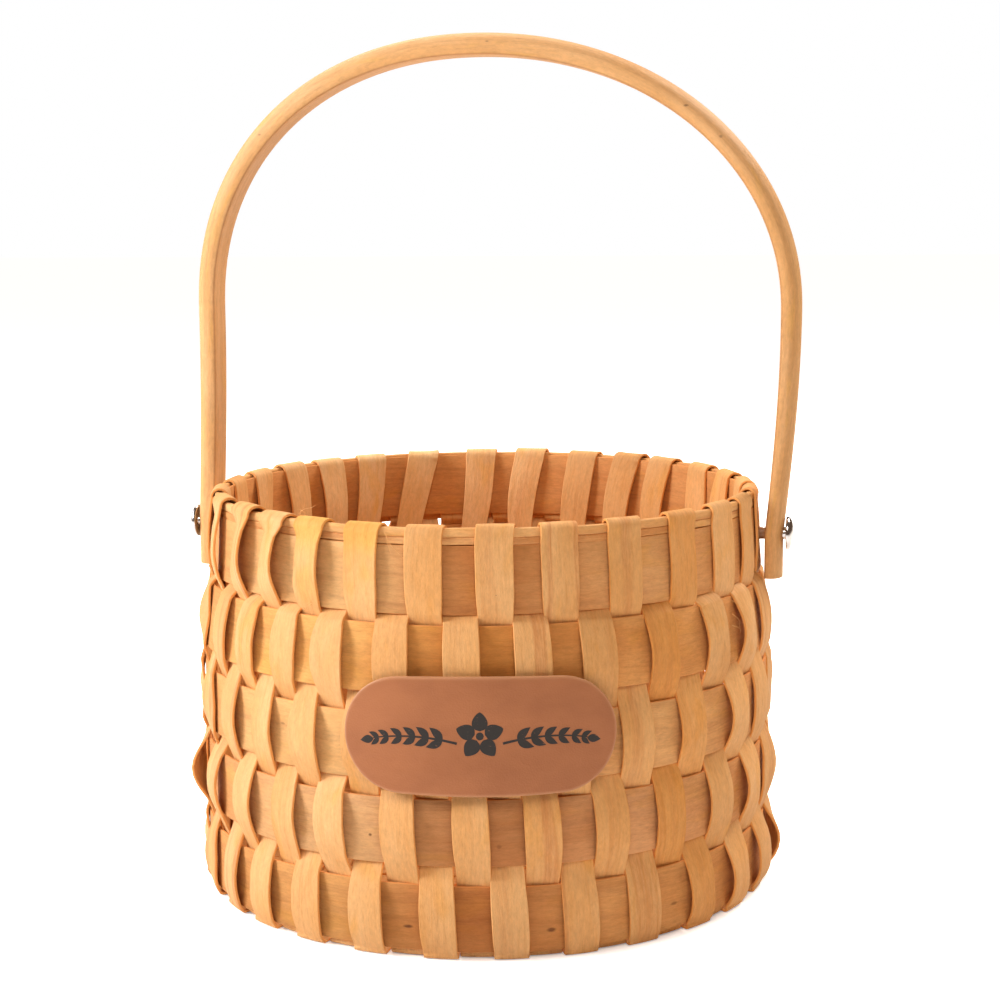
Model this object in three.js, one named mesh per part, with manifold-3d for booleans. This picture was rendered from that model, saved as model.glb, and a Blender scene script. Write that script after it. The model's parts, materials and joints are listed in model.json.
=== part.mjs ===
// Round flower basket of woven chip wood, with a bentwood swing handle on two bolts and a leather label.
// Millimetres, +Z up. The origin is the centre of the underside, the handle's pivot line lies along X,
// and the label is on the -Y side, turned a little towards +X.
//
// Every upright of the wall is one end of a long strip: it runs up one side, under the basket and up the
// other side. Half of the strips run one way and half the other, in a plain weave under the basket. Going
// round the wall, folded stakes and cut stakes take turns. A folded stake lies outside the first, third and
// fifth band, then folds over the rim and hangs down inside. A cut stake lies outside the second and fourth
// band and ends between the two bands of the rim.
import * as THREE from "three";
import { mergeVertices } from "three/addons/utils/BufferGeometryUtils.js";
import Module from "manifold-3d";

const wasm = await Module();
wasm.setup();

// Room between two pieces that touch on the real basket
const clearance = 0.3;

// Strips and the woven base
const stripsEachWay = 14;
const stripThickness = 0.8;
const stakeSideGap = 0.33;
const baseCornerInset = 6.9;
const crossingEase = 0.25;
const crossingRunPerRise = 0.82;
const footRound = 1.5;

// Bands of the wall, from the base up, and the clear height between one and the next
const bandThickness = 1.0;
const bandWidth = 20;
const lowestBandLift = 0.4;
const gapsBetweenBands = [6.1, 5.2, 6.0, 2.9];
const skiveTip = 0.1;

// How far a stake bulges out over a band. Where the swung legs pass over the shoulder it keeps only a share of
// that, which grows by this much with each stake further from a pivot.
const stakeBulge = 1.7;
const bulgeGrowth = 0.2;

// The wall is twisted a little, and its stakes crowd together at the left of the label. Turns in degrees.
const twistAtFoot = 2.4;
const twistAtRim = -0.4;
const twistPower = 1.4;
const crowdedStake = 33.5;
const crowdReachBefore = 5.5;
const crowdReachAfter = 7;
const crowdingAtFoot = 1;
const crowdingAtRim = 6.5;

// Outer radius of the bands, and how far the wall draws in at the shoulder and the rim
const wallRadius = 93;
const shoulderDraw = 2.4;
const rimSetback = 1.2;
const rimDraw = 1.0;

// Rim: two stacked reeds, the inner band behind them and the fold of the stakes over them all
const innerBandDrop = 18;
const reedHeight = 2.1;
const reedBevel = 0.5;
const foldBevel = 1.0;
const foldedEndLength = 10;
const cutEndInset = 0.7;

// Swing handle: a bow of bent wood, flat inside and rounded outside. Its pivots are set down from the rim.
const pivotDrop = 9;
const legClearance = 0.4;
const legTail = 14;
const legHeight = 72;
const handleRise = 156.3;
const handleDepth = 12.2;
const crownThickness = 7.3;
const handleSideHeight = 2.2;
const handleEdgeBevel = 0.8;
const leftLeg = { side: -1, thickness: 6.8, flare: -2.2, roundness: 2.15 };
const rightLeg = { side: 1, thickness: 5.8, flare: 4.6, roundness: 2.05 };
const crownOffset = -1.5;
const legSteps = 5;
const archSteps = 14;

// Bolts, nuts and washers of the pivots
const boltDiameter = 4;
const headDiameter = 10.7;
const headHeight = 2.5;
const headEdge = 0.6;
const boltTipBeyondNut = 1.2;
const tipChamfer = 0.4;
const nutAcrossFlats = 7;
const nutThickness = 3.2;
const washerDiameter = 9;
const washerThickness = 0.8;
const roundSteps = 16;

// Leather label, its centre set down from the top edge of the middle band
const labelLength = 80.5;
const labelHeight = 34.4;
const labelThickness = 1.2;
const labelDrop = 5.1;
const labelTurn = 9.8;
const labelSteps = 12;
const labelEndSteps = 6;
const labelEndTurn = 84;

// Materials
const paleWood = new THREE.MeshStandardMaterial({ color: 0xe6b878, roughness: 0.75, metalness: 0 });
const bandWood = new THREE.MeshStandardMaterial({ color: 0xcf9c63, roughness: 0.8, metalness: 0 });
const handleWood = new THREE.MeshStandardMaterial({ color: 0xd9a96c, roughness: 0.6, metalness: 0 });
const leather = new THREE.MeshStandardMaterial({ color: 0xb0724e, roughness: 0.55, metalness: 0 });
const chrome = new THREE.MeshStandardMaterial({ color: 0xd8d8da, roughness: 0.25, metalness: 1 });

// Values that follow from the sizes above
const stakeCount = 4 * stripsEachWay;
const stepAngle = (2 * Math.PI) / stakeCount;
const layerOffset = clearance + stripThickness / 2;
const bendEase = layerOffset / 2;
const shoulderRadius = wallRadius - shoulderDraw;
const rimFootRadius = shoulderRadius - rimSetback;
const rimRadius = rimFootRadius - rimDraw;
const rimSlope = rimDraw / bandWidth;
const stakeWidth = 2 * (rimFootRadius - bandThickness) * Math.tan(stepAngle / 2) - stakeSideGap;
const holeRadius = boltDiameter / 2 + clearance;

// The woven square of the base has its corners a little way inside the wall
const baseStripGap = 2 * crossingEase + crossingRunPerRise * (stripThickness + clearance);
const baseSide = (wallRadius - baseCornerInset) * Math.SQRT2;
const basePitch = (baseSide + baseStripGap) / stripsEachWay;
const baseStripWidth = basePitch - baseStripGap;
const baseMiddle = stripThickness + clearance / 2;
const baseTop = 2 * baseMiddle;

// The five bands from the base up, each with the radius of its outer face at both edges
const bands = [];
let bandBottom = baseTop + lowestBandLift;
for (const gap of [...gapsBetweenBands, 0]) {
  const top = bandBottom + bandWidth;
  bands.push({ bottom: bandBottom, top, bottomRadius: wallRadius, topRadius: wallRadius });
  bandBottom = top + gap;
}
const [, , middleBand, shoulderBand, rimBand] = bands;
shoulderBand.topRadius = shoulderRadius;
rimBand.bottomRadius = rimFootRadius;
rimBand.topRadius = rimRadius;
const pivotHeight = rimBand.top - pivotDrop;

// Layers of the rim, as distances in from the outer face of the rim band
const innerBandDepth = bandThickness + 2 * clearance + stripThickness;
const foldedEndDepth = innerBandDepth + bandThickness + layerOffset;
const reedHalfWidth = (innerBandDepth - clearance) / 2;
const reedTop = rimBand.top + 2 * (clearance + reedHeight);
const foldCrest = reedTop + layerOffset;

// Turn of a stake round the axis at a height. The number counts the stakes from +X.
function stakeTurn(number, height) {
  const rise = THREE.MathUtils.clamp(height / rimBand.top, 0, 1);
  const twist = twistAtRim + (twistAtFoot - twistAtRim) * (1 - rise) ** twistPower;
  const reach = number < crowdedStake ? crowdReachBefore : crowdReachAfter;
  const distance = Math.min(Math.abs(number - crowdedStake) / reach, 1);
  const crowding = crowdingAtFoot + (crowdingAtRim - crowdingAtFoot) * rise;
  const crowdTurn = crowding * Math.cos((distance * Math.PI) / 2) ** 2;
  return number * stepAngle + THREE.MathUtils.degToRad(twist + crowdTurn);
}

// Width of a stake, less where its neighbours crowd it
function widthOfStake(number) {
  const here = stakeTurn(number, rimBand.top);
  const before = here - stakeTurn(number - 1, rimBand.top);
  const after = stakeTurn(number + 1, rimBand.top) - here;
  const room = Math.min(before / stepAngle, after / stepAngle, 1);
  return room * (stakeWidth + stakeSideGap) - stakeSideGap;
}

// How far a stake bulges over a band that it lies outside
function bulgeOver(number, band) {
  if (band === rimBand) return 0;
  const fromPivot = Math.abs(number - (stakeCount / 2) * Math.round(number / (stakeCount / 2)));
  return band === shoulderBand ? stakeBulge * Math.min(bulgeGrowth * fromPivot, 1) : stakeBulge;
}

// Radius of the rim band's outer face at a height
function rimRadiusAt(height) {
  return rimRadius + rimSlope * (rimBand.top - height);
}

// A closed body through a list of sections, each a convex loop of points. A ring joins the last section to
// the first, and any other body has its two ends capped.
function loft(sections, isRing = false) {
  const corners = sections[0].length;
  const positions = [];
  const triangle = (a, b, c) => positions.push(...a.toArray(), ...b.toArray(), ...c.toArray());
  const spans = isRing ? sections.length : sections.length - 1;
  for (let s = 0; s < spans; s++) {
    const near = sections[s];
    const far = sections[(s + 1) % sections.length];
    for (let k = 0; k < corners; k++) {
      const next = (k + 1) % corners;
      triangle(near[k], far[k], far[next]);
      triangle(near[k], far[next], near[next]);
    }
  }
  if (!isRing) {
    const first = sections[0];
    const last = sections[sections.length - 1];
    for (let k = 1; k < corners - 1; k++) {
      triangle(first[0], first[k], first[k + 1]);
      triangle(last[0], last[k + 1], last[k]);
    }
  }
  return facingOut(positions);
}

// A geometry from a flat list of triangle corners, turned inside out if its volume comes out negative
function facingOut(positions) {
  let volume = 0;
  const a = new THREE.Vector3();
  const b = new THREE.Vector3();
  const c = new THREE.Vector3();
  for (let i = 0; i < positions.length; i += 9) {
    a.fromArray(positions, i);
    b.fromArray(positions, i + 3);
    c.fromArray(positions, i + 6);
    volume += a.dot(b.cross(c));
  }
  if (volume < 0) {
    for (let i = 0; i < positions.length; i += 9) {
      const second = positions.slice(i + 3, i + 6);
      const third = positions.slice(i + 6, i + 9);
      positions.splice(i + 3, 6, ...third, ...second);
    }
  }
  const geometry = new THREE.BufferGeometry();
  geometry.setAttribute("position", new THREE.Float32BufferAttribute(positions, 3));
  return geometry;
}

// Solid of a closed geometry, for cutting
function solidOf(geometry) {
  const bare = new THREE.BufferGeometry();
  const source = geometry.index ? geometry.toNonIndexed() : geometry;
  bare.setAttribute("position", source.getAttribute("position"));
  const merged = mergeVertices(bare, 1e-3);
  return new wasm.Manifold(
    new wasm.Mesh({
      numProp: 3,
      vertProperties: new Float32Array(merged.attributes.position.array),
      triVerts: new Uint32Array(merged.index.array),
    }),
  );
}

// The geometry with both bolt holes cut through it along the pivot line
function drilled(geometry) {
  const reach = 2 * (wallRadius + crownThickness + headDiameter);
  const drill = new THREE.CylinderGeometry(holeRadius, holeRadius, reach, roundSteps);
  drill.rotateZ(Math.PI / 2);
  drill.translate(0, 0, pivotHeight);
  const mesh = solidOf(geometry).subtract(solidOf(drill)).getMesh();
  const cut = new THREE.BufferGeometry();
  cut.setAttribute("position", new THREE.BufferAttribute(mesh.vertProperties, 3));
  cut.setIndex(new THREE.BufferAttribute(mesh.triVerts, 1));
  return cut;
}

// Strips

// A flat strip of wood through a list of stations, each with its centre, the unit direction across the strip
// and the strip's width there. Bends are mitred, so the thickness stays the same.
function flatStrip(stations) {
  const normals = [];
  for (let s = 1; s < stations.length; s++) {
    const across = stations[s - 1].across.clone().add(stations[s].across);
    const along = stations[s].centre.clone().sub(stations[s - 1].centre);
    normals.push(across.cross(along).normalize());
  }
  const sections = stations.map(({ centre, across, width }, s) => {
    const before = normals[Math.max(s - 1, 0)];
    const after = normals[Math.min(s, normals.length - 1)];
    const mitre = before.clone().add(after).normalize();
    mitre.multiplyScalar(stripThickness / 2 / mitre.dot(before));
    const half = across.clone().multiplyScalar(width / 2);
    return [
      centre.clone().sub(half).sub(mitre),
      centre.clone().add(half).sub(mitre),
      centre.clone().add(half).add(mitre),
      centre.clone().sub(half).add(mitre),
    ];
  });
  return loft(sections);
}

// Radius and height of a stake's centre line, from the corner under the wall to the stake's tip
function stakeProfile(number) {
  const isFolded = number % 2 === 0;
  const profile = [];
  bands.forEach((band, index) => {
    const isOutside = (index % 2 === 0) === isFolded;
    const offset = isOutside ? layerOffset : -(bandThickness + layerOffset);
    profile.push([band.bottomRadius + offset, band.bottom - bendEase]);
    const bulge = isOutside ? bulgeOver(number, band) : 0;
    for (const share of bulge > 0 ? [0.3, 0.7] : []) {
      const radius = band.bottomRadius + (band.topRadius - band.bottomRadius) * share;
      profile.push([radius + offset + bulge, band.bottom + bandWidth * share]);
    }
    profile.push([band.topRadius + offset, band.top + bendEase]);
  });
  profile.unshift([profile[0][0] - footRound, stripThickness / 2]);
  profile.pop();
  if (!isFolded) {
    const tip = rimBand.top - cutEndInset;
    return [...profile, [rimRadiusAt(tip) - bandThickness - layerOffset, tip]];
  }
  const outerRadius = rimRadius + layerOffset;
  const innerRadius = rimRadiusAt(foldCrest - foldBevel) - foldedEndDepth;
  const tip = rimBand.top - innerBandDrop - foldedEndLength;
  return [
    ...profile,
    [outerRadius, rimBand.top],
    [outerRadius, foldCrest - foldBevel],
    [outerRadius - foldBevel, foldCrest],
    [innerRadius + foldBevel, foldCrest],
    [innerRadius, foldCrest - foldBevel],
    [rimRadiusAt(tip) - foldedEndDepth, tip],
  ];
}

// Stations of the stake at one end of a strip. The number counts the stakes round the wall from +X.
function stakeStations(number) {
  return stakeProfile(number).map(([radius, height]) => {
    const angle = stakeTurn(number, height);
    return {
      centre: new THREE.Vector3(radius * Math.cos(angle), radius * Math.sin(angle), height),
      across: new THREE.Vector3(-Math.sin(angle), Math.cos(angle), 0),
      width: widthOfStake(number),
    };
  });
}

// One strip of the base and the two stakes that it turns up into. The index counts from the middle of the
// base, and turned is true for the strips that run the second way.
function stripGeometry(index, turned) {
  const quarterTurn = turned ? Math.PI / 2 : 0;
  const base = new THREE.Matrix4().makeRotationZ(stakeTurn(0, 0) + stepAngle / 2 + quarterTurn);
  const sideways = (index + 0.5) * basePitch;
  const baseAcross = new THREE.Vector3(0, 1, 0).transformDirection(base);
  const stations = [];
  for (let crossing = -stripsEachWay / 2; crossing < stripsEachWay / 2; crossing++) {
    const isOver = (index + crossing) % 2 !== 0;
    const height = baseMiddle + (isOver ? 1 : -1) * (stripThickness + clearance) / 2;
    const reach = baseStripWidth / 2 + crossingEase;
    for (const edge of [-reach, reach]) {
      const along = (crossing + 0.5) * basePitch + edge;
      stations.push({
        centre: new THREE.Vector3(along, sideways, height).applyMatrix4(base),
        across: baseAcross,
        width: baseStripWidth,
      });
    }
  }
  const quarter = turned ? stripsEachWay : 0;
  const far = stakeStations(index + 1 + quarter);
  const near = stakeStations(2 * stripsEachWay - index + quarter);
  near.forEach((station) => (station.across = station.across.clone().negate()));
  return flatStrip([...near.reverse(), ...stations, ...far]);
}

// Bands and reeds

// A point of a ring's section at an edge between two facets, where each facet faces one stake
function ringPoint(angle, radius, height, facetAngle) {
  const reach = radius / Math.cos(facetAngle / 2);
  return new THREE.Vector3(reach * Math.cos(angle), reach * Math.sin(angle), height);
}

// A band of wood bent into a ring of flat facets. Its two ends are skived and lie over each other, with a
// slanting gap between them, in the facet at the given stake.
function bandGeometry(band, lapStake) {
  const start = (lapStake - 0.5) * stepAngle;
  const lapSlope = bandThickness + clearance;
  const tongueStart = (clearance + skiveTip) / lapSlope;
  const tongueEnd = (bandThickness - skiveTip) / lapSlope;
  const section = (turn, inside, outside) =>
    [
      [band.bottomRadius - inside, band.bottom],
      [band.bottomRadius - outside, band.bottom],
      [band.topRadius - outside, band.top],
      [band.topRadius - inside, band.top],
    ].map(([radius, height]) => lapPoint(start, turn, radius, height));
  const sections = [section(tongueStart, skiveTip, 0)];
  for (let facet = 1; facet <= stakeCount; facet++) sections.push(section(facet, bandThickness, 0));
  sections.push(section(stakeCount + tongueEnd, bandThickness, bandThickness - skiveTip));
  return loft(sections);
}

// A point of a band at a turn counted in facets from its start; a part of a facet lies on its flat face
function lapPoint(start, turn, radius, height) {
  const facet = Math.floor(turn);
  const here = ringPoint(start + facet * stepAngle, radius, height, stepAngle);
  const next = ringPoint(start + (facet + 1) * stepAngle, radius, height, stepAngle);
  return here.lerp(next, turn - facet);
}

// One of the two reeds in the rim: a ring with a bevelled section and one facet for each stake
function reedGeometry(bottom) {
  const radius = rimRadius - reedHalfWidth;
  const middle = bottom + reedHeight / 2;
  const flat = reedHalfWidth - reedBevel;
  const sections = [];
  for (let facet = 0; facet < stakeCount; facet++) {
    const angle = (facet - 0.5) * stepAngle;
    const corners = [
      [radius - flat, bottom],
      [radius + flat, bottom],
      [radius + reedHalfWidth, middle],
      [radius + flat, bottom + reedHeight],
      [radius - flat, bottom + reedHeight],
      [radius - reedHalfWidth, middle],
    ];
    sections.push(corners.map(([reach, height]) => ringPoint(angle, reach, height, stepAngle)));
  }
  return loft(sections, true);
}

// Handle
const legInnerFace = shoulderRadius + clearance + stripThickness + legClearance;

// Distance of a leg's centre line from the middle of the basket at its pivot
function pivotReach(leg) {
  return legInnerFace + leg.thickness / 2;
}

// How far a leg leans out at a rise above the pivot; below the pivot it runs straight down
function legLean({ flare }, rise) {
  return flare * Math.sin(((Math.max(rise, 0) / legHeight) * Math.PI) / 2);
}

// Centre line of one side of the bow, from its square-cut foot to the crown
function handleSide(leg) {
  const { side, flare, roundness } = leg;
  const pivot = pivotReach(leg);
  const points = [];
  for (let i = 0; i < legSteps; i++) {
    const rise = -legTail + ((legHeight + legTail) * i) / legSteps;
    const reach = pivot + legLean(leg, rise);
    points.push(new THREE.Vector3(side * reach, 0, pivotHeight + rise));
  }
  for (let i = 0; i <= archSteps; i++) {
    const turn = ((i / archSteps) * Math.PI) / 2;
    const reach = (pivot + flare) * Math.max(Math.cos(turn), 0) ** (2 / roundness);
    const rise = legHeight + (handleRise - legHeight) * Math.sin(turn) ** (2 / roundness);
    const drift = crownOffset * Math.sin(turn) ** 2;
    points.push(new THREE.Vector3(side * reach + drift, 0, pivotHeight + rise));
  }
  return points;
}

// The bow's section: flat inside, short sides and a round back. Each point is a distance across and outward.
function handleProfile(thickness) {
  const half = handleDepth / 2;
  const sideTop = -thickness / 2 + handleSideHeight;
  const profile = [
    [-half + handleEdgeBevel, -thickness / 2],
    [half - handleEdgeBevel, -thickness / 2],
  ];
  const backSteps = 6;
  for (let i = 0; i <= backSteps; i++) {
    const turn = (i / backSteps) * Math.PI;
    profile.push([half * Math.cos(turn), sideTop + (thickness / 2 - sideTop) * Math.sin(turn)]);
  }
  return profile;
}

function handleGeometry() {
  const left = handleSide(leftLeg);
  const right = handleSide(rightLeg);
  const path = [...left, ...right.reverse().slice(1)];
  const sections = path.map((centre, i) => {
    const before = path[Math.max(i - 1, 0)];
    const after = path[Math.min(i + 1, path.length - 1)];
    const along = after.clone().sub(before).normalize();
    const outward = new THREE.Vector3(-along.z, 0, along.x);
    const rise = Math.max(centre.z - pivotHeight, 0) / handleRise;
    const foot = (centre.x < 0 ? leftLeg : rightLeg).thickness;
    const thickness = foot + (crownThickness - foot) * rise;
    return handleProfile(thickness).map(([across, out]) =>
      centre.clone().addScaledVector(outward, out).setY(across),
    );
  });
  return drilled(loft(sections));
}

// Bolts, nuts and washers. Each is built on the right, pointing along +X, and mirrored by turning it round.
const foldedEndInnerFace = rimRadiusAt(pivotHeight) - foldedEndDepth - stripThickness / 2;
const washerFace = foldedEndInnerFace - (rimSlope * washerDiameter) / 2 - clearance;
const nutFace = washerFace - washerThickness - clearance;
const boltTip = nutFace - nutThickness - boltTipBeyondNut;

// A round piece on the pivot line from a profile of radius and X position
function turnedAlongX(profile) {
  const geometry = new THREE.LatheGeometry(
    profile.map(([radius, along]) => new THREE.Vector2(radius, along)),
    roundSteps,
  );
  geometry.rotateZ(-Math.PI / 2);
  return geometry;
}

// The head sits on the leg's round back, clear of the leg's lean over the height of the head
function boltGeometry(leg) {
  const lean = Math.max(legLean(leg, headDiameter / 2), 0);
  const headSeat = pivotReach(leg) + leg.thickness / 2 + lean + clearance;
  const shank = boltDiameter / 2;
  const profile = [
    [0, boltTip],
    [shank - tipChamfer, boltTip],
    [shank, boltTip + tipChamfer],
    [shank, headSeat],
    [headDiameter / 2, headSeat],
  ];
  const domeSteps = 4;
  for (let i = 0; i <= domeSteps; i++) {
    const turn = ((i / domeSteps) * Math.PI) / 2;
    const rise = headEdge + (headHeight - headEdge) * Math.sin(turn);
    profile.push([i < domeSteps ? (headDiameter / 2) * Math.cos(turn) : 0, headSeat + rise]);
  }
  return turnedAlongX(profile);
}

function washerGeometry() {
  const outer = washerDiameter / 2;
  const inside = washerFace - washerThickness;
  return turnedAlongX([
    [holeRadius, inside],
    [outer, inside],
    [outer, washerFace],
    [holeRadius, washerFace],
    [holeRadius, inside],
  ]);
}

function nutGeometry() {
  const corner = nutAcrossFlats / 2 / Math.cos(Math.PI / 6);
  const outline = new THREE.Shape();
  for (let i = 0; i < 6; i++) {
    const angle = (i * Math.PI) / 3;
    const point = [corner * Math.cos(angle), corner * Math.sin(angle)];
    if (i === 0) outline.moveTo(...point);
    else outline.lineTo(...point);
  }
  outline.closePath();
  const bore = new THREE.Path();
  bore.absarc(0, 0, holeRadius, 0, 2 * Math.PI, true);
  outline.holes.push(bore);
  const options = { depth: nutThickness, bevelEnabled: false, curveSegments: roundSteps / 2 };
  const geometry = new THREE.ExtrudeGeometry(outline, options);
  geometry.rotateY(Math.PI / 2);
  geometry.translate(nutFace - nutThickness, 0, 0);
  return geometry;
}

// Label

// A curved plate with round ends, lying on the stakes where they bulge
function labelGeometry() {
  const stakeFace = wallRadius + clearance + stripThickness + stakeBulge;
  const innerRadius = Math.hypot(stakeFace, stakeWidth / 2) + clearance;
  const centreHeight = middleBand.top - labelDrop;
  const endRadius = labelHeight / 2;
  const straight = labelLength / 2 - endRadius;
  const columns = [];
  for (let i = labelEndSteps; i > 0; i--) {
    const turn = THREE.MathUtils.degToRad((labelEndTurn * i) / labelEndSteps);
    columns.push([-straight - endRadius * Math.sin(turn), endRadius * Math.cos(turn)]);
  }
  for (let i = 0; i <= labelSteps; i++) {
    columns.push([-straight + (2 * straight * i) / labelSteps, endRadius]);
  }
  for (let i = 1; i <= labelEndSteps; i++) {
    const turn = THREE.MathUtils.degToRad((labelEndTurn * i) / labelEndSteps);
    columns.push([straight + endRadius * Math.sin(turn), endRadius * Math.cos(turn)]);
  }
  const middle = -Math.PI / 2 + THREE.MathUtils.degToRad(labelTurn);
  const sections = columns.map(([along, half]) => {
    const angle = middle + along / innerRadius;
    const point = (radius, height) =>
      new THREE.Vector3(radius * Math.cos(angle), radius * Math.sin(angle), height);
    return [
      point(innerRadius, centreHeight - half),
      point(innerRadius + labelThickness, centreHeight - half),
      point(innerRadius + labelThickness, centreHeight + half),
      point(innerRadius, centreHeight + half),
    ];
  });
  return loft(sections);
}

// Assembly
const basket = new THREE.Group();
basket.name = "flower_basket";

function add(name, geometry, material) {
  const mesh = new THREE.Mesh(geometry, material);
  mesh.name = name;
  basket.add(mesh);
  return mesh;
}

for (const [letter, turned] of [
  ["x", false],
  ["y", true],
]) {
  for (let i = 0; i < stripsEachWay; i++) {
    const index = i - stripsEachWay / 2;
    const geometry = stripGeometry(index, turned);
    const meetsBolt = !turned && (index === -1 || index === 0);
    const name = `strip_${letter}_${String(i + 1).padStart(2, "0")}`;
    add(name, meetsBolt ? drilled(geometry) : geometry, paleWood);
  }
}

// Each band's lap is hidden behind a stake at the back, and each lies further round than the one below
bands.forEach((band, index) => {
  const lapStake = stripsEachWay + 3 * (index - 2);
  const geometry = bandGeometry(band, lapStake);
  add(`band_row_${bands.length - index}`, band === rimBand ? drilled(geometry) : geometry, bandWood);
});

const innerBand = {
  bottom: rimBand.top - innerBandDrop,
  top: foldCrest - foldBevel - clearance,
  bottomRadius: rimRadiusAt(rimBand.top - innerBandDrop) - innerBandDepth,
  topRadius: rimRadiusAt(foldCrest - foldBevel - clearance) - innerBandDepth,
};
add("rim_band_inner", drilled(bandGeometry(innerBand, stripsEachWay - 6)), bandWood);
add("rim_reed_lower", reedGeometry(rimBand.top + clearance), paleWood);
add("rim_reed_upper", reedGeometry(rimBand.top + 2 * clearance + reedHeight), paleWood);

add("handle", handleGeometry(), handleWood);

for (const [side, leg, turn] of [
  ["left", leftLeg, Math.PI],
  ["right", rightLeg, 0],
]) {
  const pivot = new THREE.Group();
  pivot.position.z = pivotHeight;
  pivot.rotation.z = turn;
  pivot.add(add(`bolt_${side}`, boltGeometry(leg), chrome));
  pivot.add(add(`washer_${side}`, washerGeometry(), chrome));
  pivot.add(add(`nut_${side}`, nutGeometry(), chrome));
  basket.add(pivot);
}

add("label", labelGeometry(), leather);

export default basket;
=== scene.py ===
import json
import math
import random

import bpy
from mathutils import Matrix, Vector


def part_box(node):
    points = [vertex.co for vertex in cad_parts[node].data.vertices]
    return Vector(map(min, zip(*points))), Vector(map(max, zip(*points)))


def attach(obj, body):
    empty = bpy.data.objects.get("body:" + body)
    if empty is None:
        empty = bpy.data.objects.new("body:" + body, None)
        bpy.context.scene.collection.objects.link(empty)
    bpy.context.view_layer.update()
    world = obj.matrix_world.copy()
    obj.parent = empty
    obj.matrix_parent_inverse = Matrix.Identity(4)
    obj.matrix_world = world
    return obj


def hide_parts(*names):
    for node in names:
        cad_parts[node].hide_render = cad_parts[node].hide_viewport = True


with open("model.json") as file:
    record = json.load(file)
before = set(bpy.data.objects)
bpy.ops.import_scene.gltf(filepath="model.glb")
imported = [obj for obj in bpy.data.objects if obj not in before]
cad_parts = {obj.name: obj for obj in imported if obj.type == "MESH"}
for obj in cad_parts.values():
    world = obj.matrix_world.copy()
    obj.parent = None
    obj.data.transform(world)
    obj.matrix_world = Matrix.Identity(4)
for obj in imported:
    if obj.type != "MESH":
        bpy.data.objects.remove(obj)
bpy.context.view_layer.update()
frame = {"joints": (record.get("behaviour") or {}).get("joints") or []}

# Lengths below are in millimetres unless they say otherwise; a mesh is scaled to metres when it is made.
METRES = 0.001
UP = Vector((0, 0, 1))


def node_box(node):
    low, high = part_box(node)
    return low / METRES, high / METRES


# Sizes of the basket
STRIPS_EACH_WAY = 14
STAKE_COUNT = 4 * STRIPS_EACH_WAY
STEP = 2 * math.pi / STAKE_COUNT
STRIP_THICKNESS = 0.9
BAND_THICKNESS = 1.0
WALL_RADIUS = 93.0
SHOULDER_RADIUS = 90.6
RIM_FOOT_RADIUS = 89.4
RIM_RADIUS = 88.4
BASE_PITCH = 8.8
BASE_STRIP_WIDTH = 7.4
BASE_CROSSING_REACH = 3.95
BASE_MIDDLE = 0.95
BASE_HALF_RISE = 0.55

# Bands from the base up: height of both edges, and the radius of the outer face there
BANDS = []
for row in range(5, 0, -1):
    low, high = node_box(f"band_row_{row}")
    BANDS.append({"row": row, "bottom": low.z, "top": high.z, "foot": WALL_RADIUS, "head": WALL_RADIUS})
BANDS[3]["head"] = SHOULDER_RADIUS
BANDS[4]["foot"] = RIM_FOOT_RADIUS
BANDS[4]["head"] = RIM_RADIUS
RIM_TOP = BANDS[4]["top"]
PIVOT_HEIGHT = frame["joints"][0]["pos_m"][2] / METRES

# How a stake lies over a band: the room at the band's edges, and how far it bulges between them
OUTSIDE_EDGE = 0.52
INSIDE_EDGE = -1.62
OUTSIDE_BELLY = 2.2
INSIDE_BELLY = -1.1
STAKE_WIDTH = 10.9
PINCH_WIDTH = 10.3
RIM_WIDTH = 11.1
RIM_FULLNESS = 0.45
SHINGLE_TILT = 0.09
CROWDED_TILT = 0.24
BACK_PINCH_WIDTH = 8.9

# The wall's twist and the crowding of its stakes at the left of the label, in degrees
TWIST_AT_FOOT = 2.4
TWIST_AT_RIM = -0.4
TWIST_POWER = 1.4
CROWDED_STAKE = 33.5
CROWD_REACH_BEFORE = 5.5
CROWD_REACH_AFTER = 7
CROWDING_AT_FOOT = 1
CROWDING_AT_RIM = 6.5


# Meshes


def add_piece(name, points, faces, material, body="basket", attributes=None, replaces=(), sharp=40):
    mesh = bpy.data.meshes.new(name)
    mesh.from_pydata([Vector(p) * METRES for p in points], [], faces)
    for key, (kind, field, values) in (attributes or {}).items():
        layer = mesh.attributes.new(key, kind, "POINT")
        layer.data.foreach_set(field, values)
    mesh.polygons.foreach_set("use_smooth", [True] * len(mesh.polygons))
    mesh.set_sharp_from_angle(angle=math.radians(sharp))
    mesh.materials.append(material)
    piece = bpy.data.objects.new(name, mesh)
    bpy.context.scene.collection.objects.link(piece)
    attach(piece, body)
    if replaces:
        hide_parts(*replaces)
    return piece


def loft(rings, closed=False):
    """Points and faces of a body through rings of points; a closed one joins its last ring to its first."""
    count = len(rings[0])
    points = [p for ring in rings for p in ring]
    faces = []
    spans = len(rings) if closed else len(rings) - 1
    for s in range(spans):
        near = s * count
        far = (s + 1) % len(rings) * count
        for k in range(count):
            after = (k + 1) % count
            faces.append((near + k, near + after, far + after, far + k))
    if not closed:
        faces.append(tuple(reversed(range(count))))
        faces.append(tuple(range((len(rings) - 1) * count, len(rings) * count)))
    if signed_volume(points, faces) < 0:
        faces = [tuple(reversed(face)) for face in faces]
    return points, faces


def signed_volume(points, faces):
    total = 0
    for face in faces:
        a = points[face[0]]
        for i in range(1, len(face) - 1):
            total += a.dot(points[face[i]].cross(points[face[i + 1]]))
    return total


# Strips

# A station of a strip has eleven numbers: centre, direction across, width, and the tint and stripes of the
# wood; the tint holds the wood's tone and, on some stakes, painted light and shade


def station(centre, across, width, tint):
    return [*centre, *across, width, *tint]


def mixed(a, b, share):
    return [p + (q - p) * share for p, q in zip(a, b)]


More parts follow.
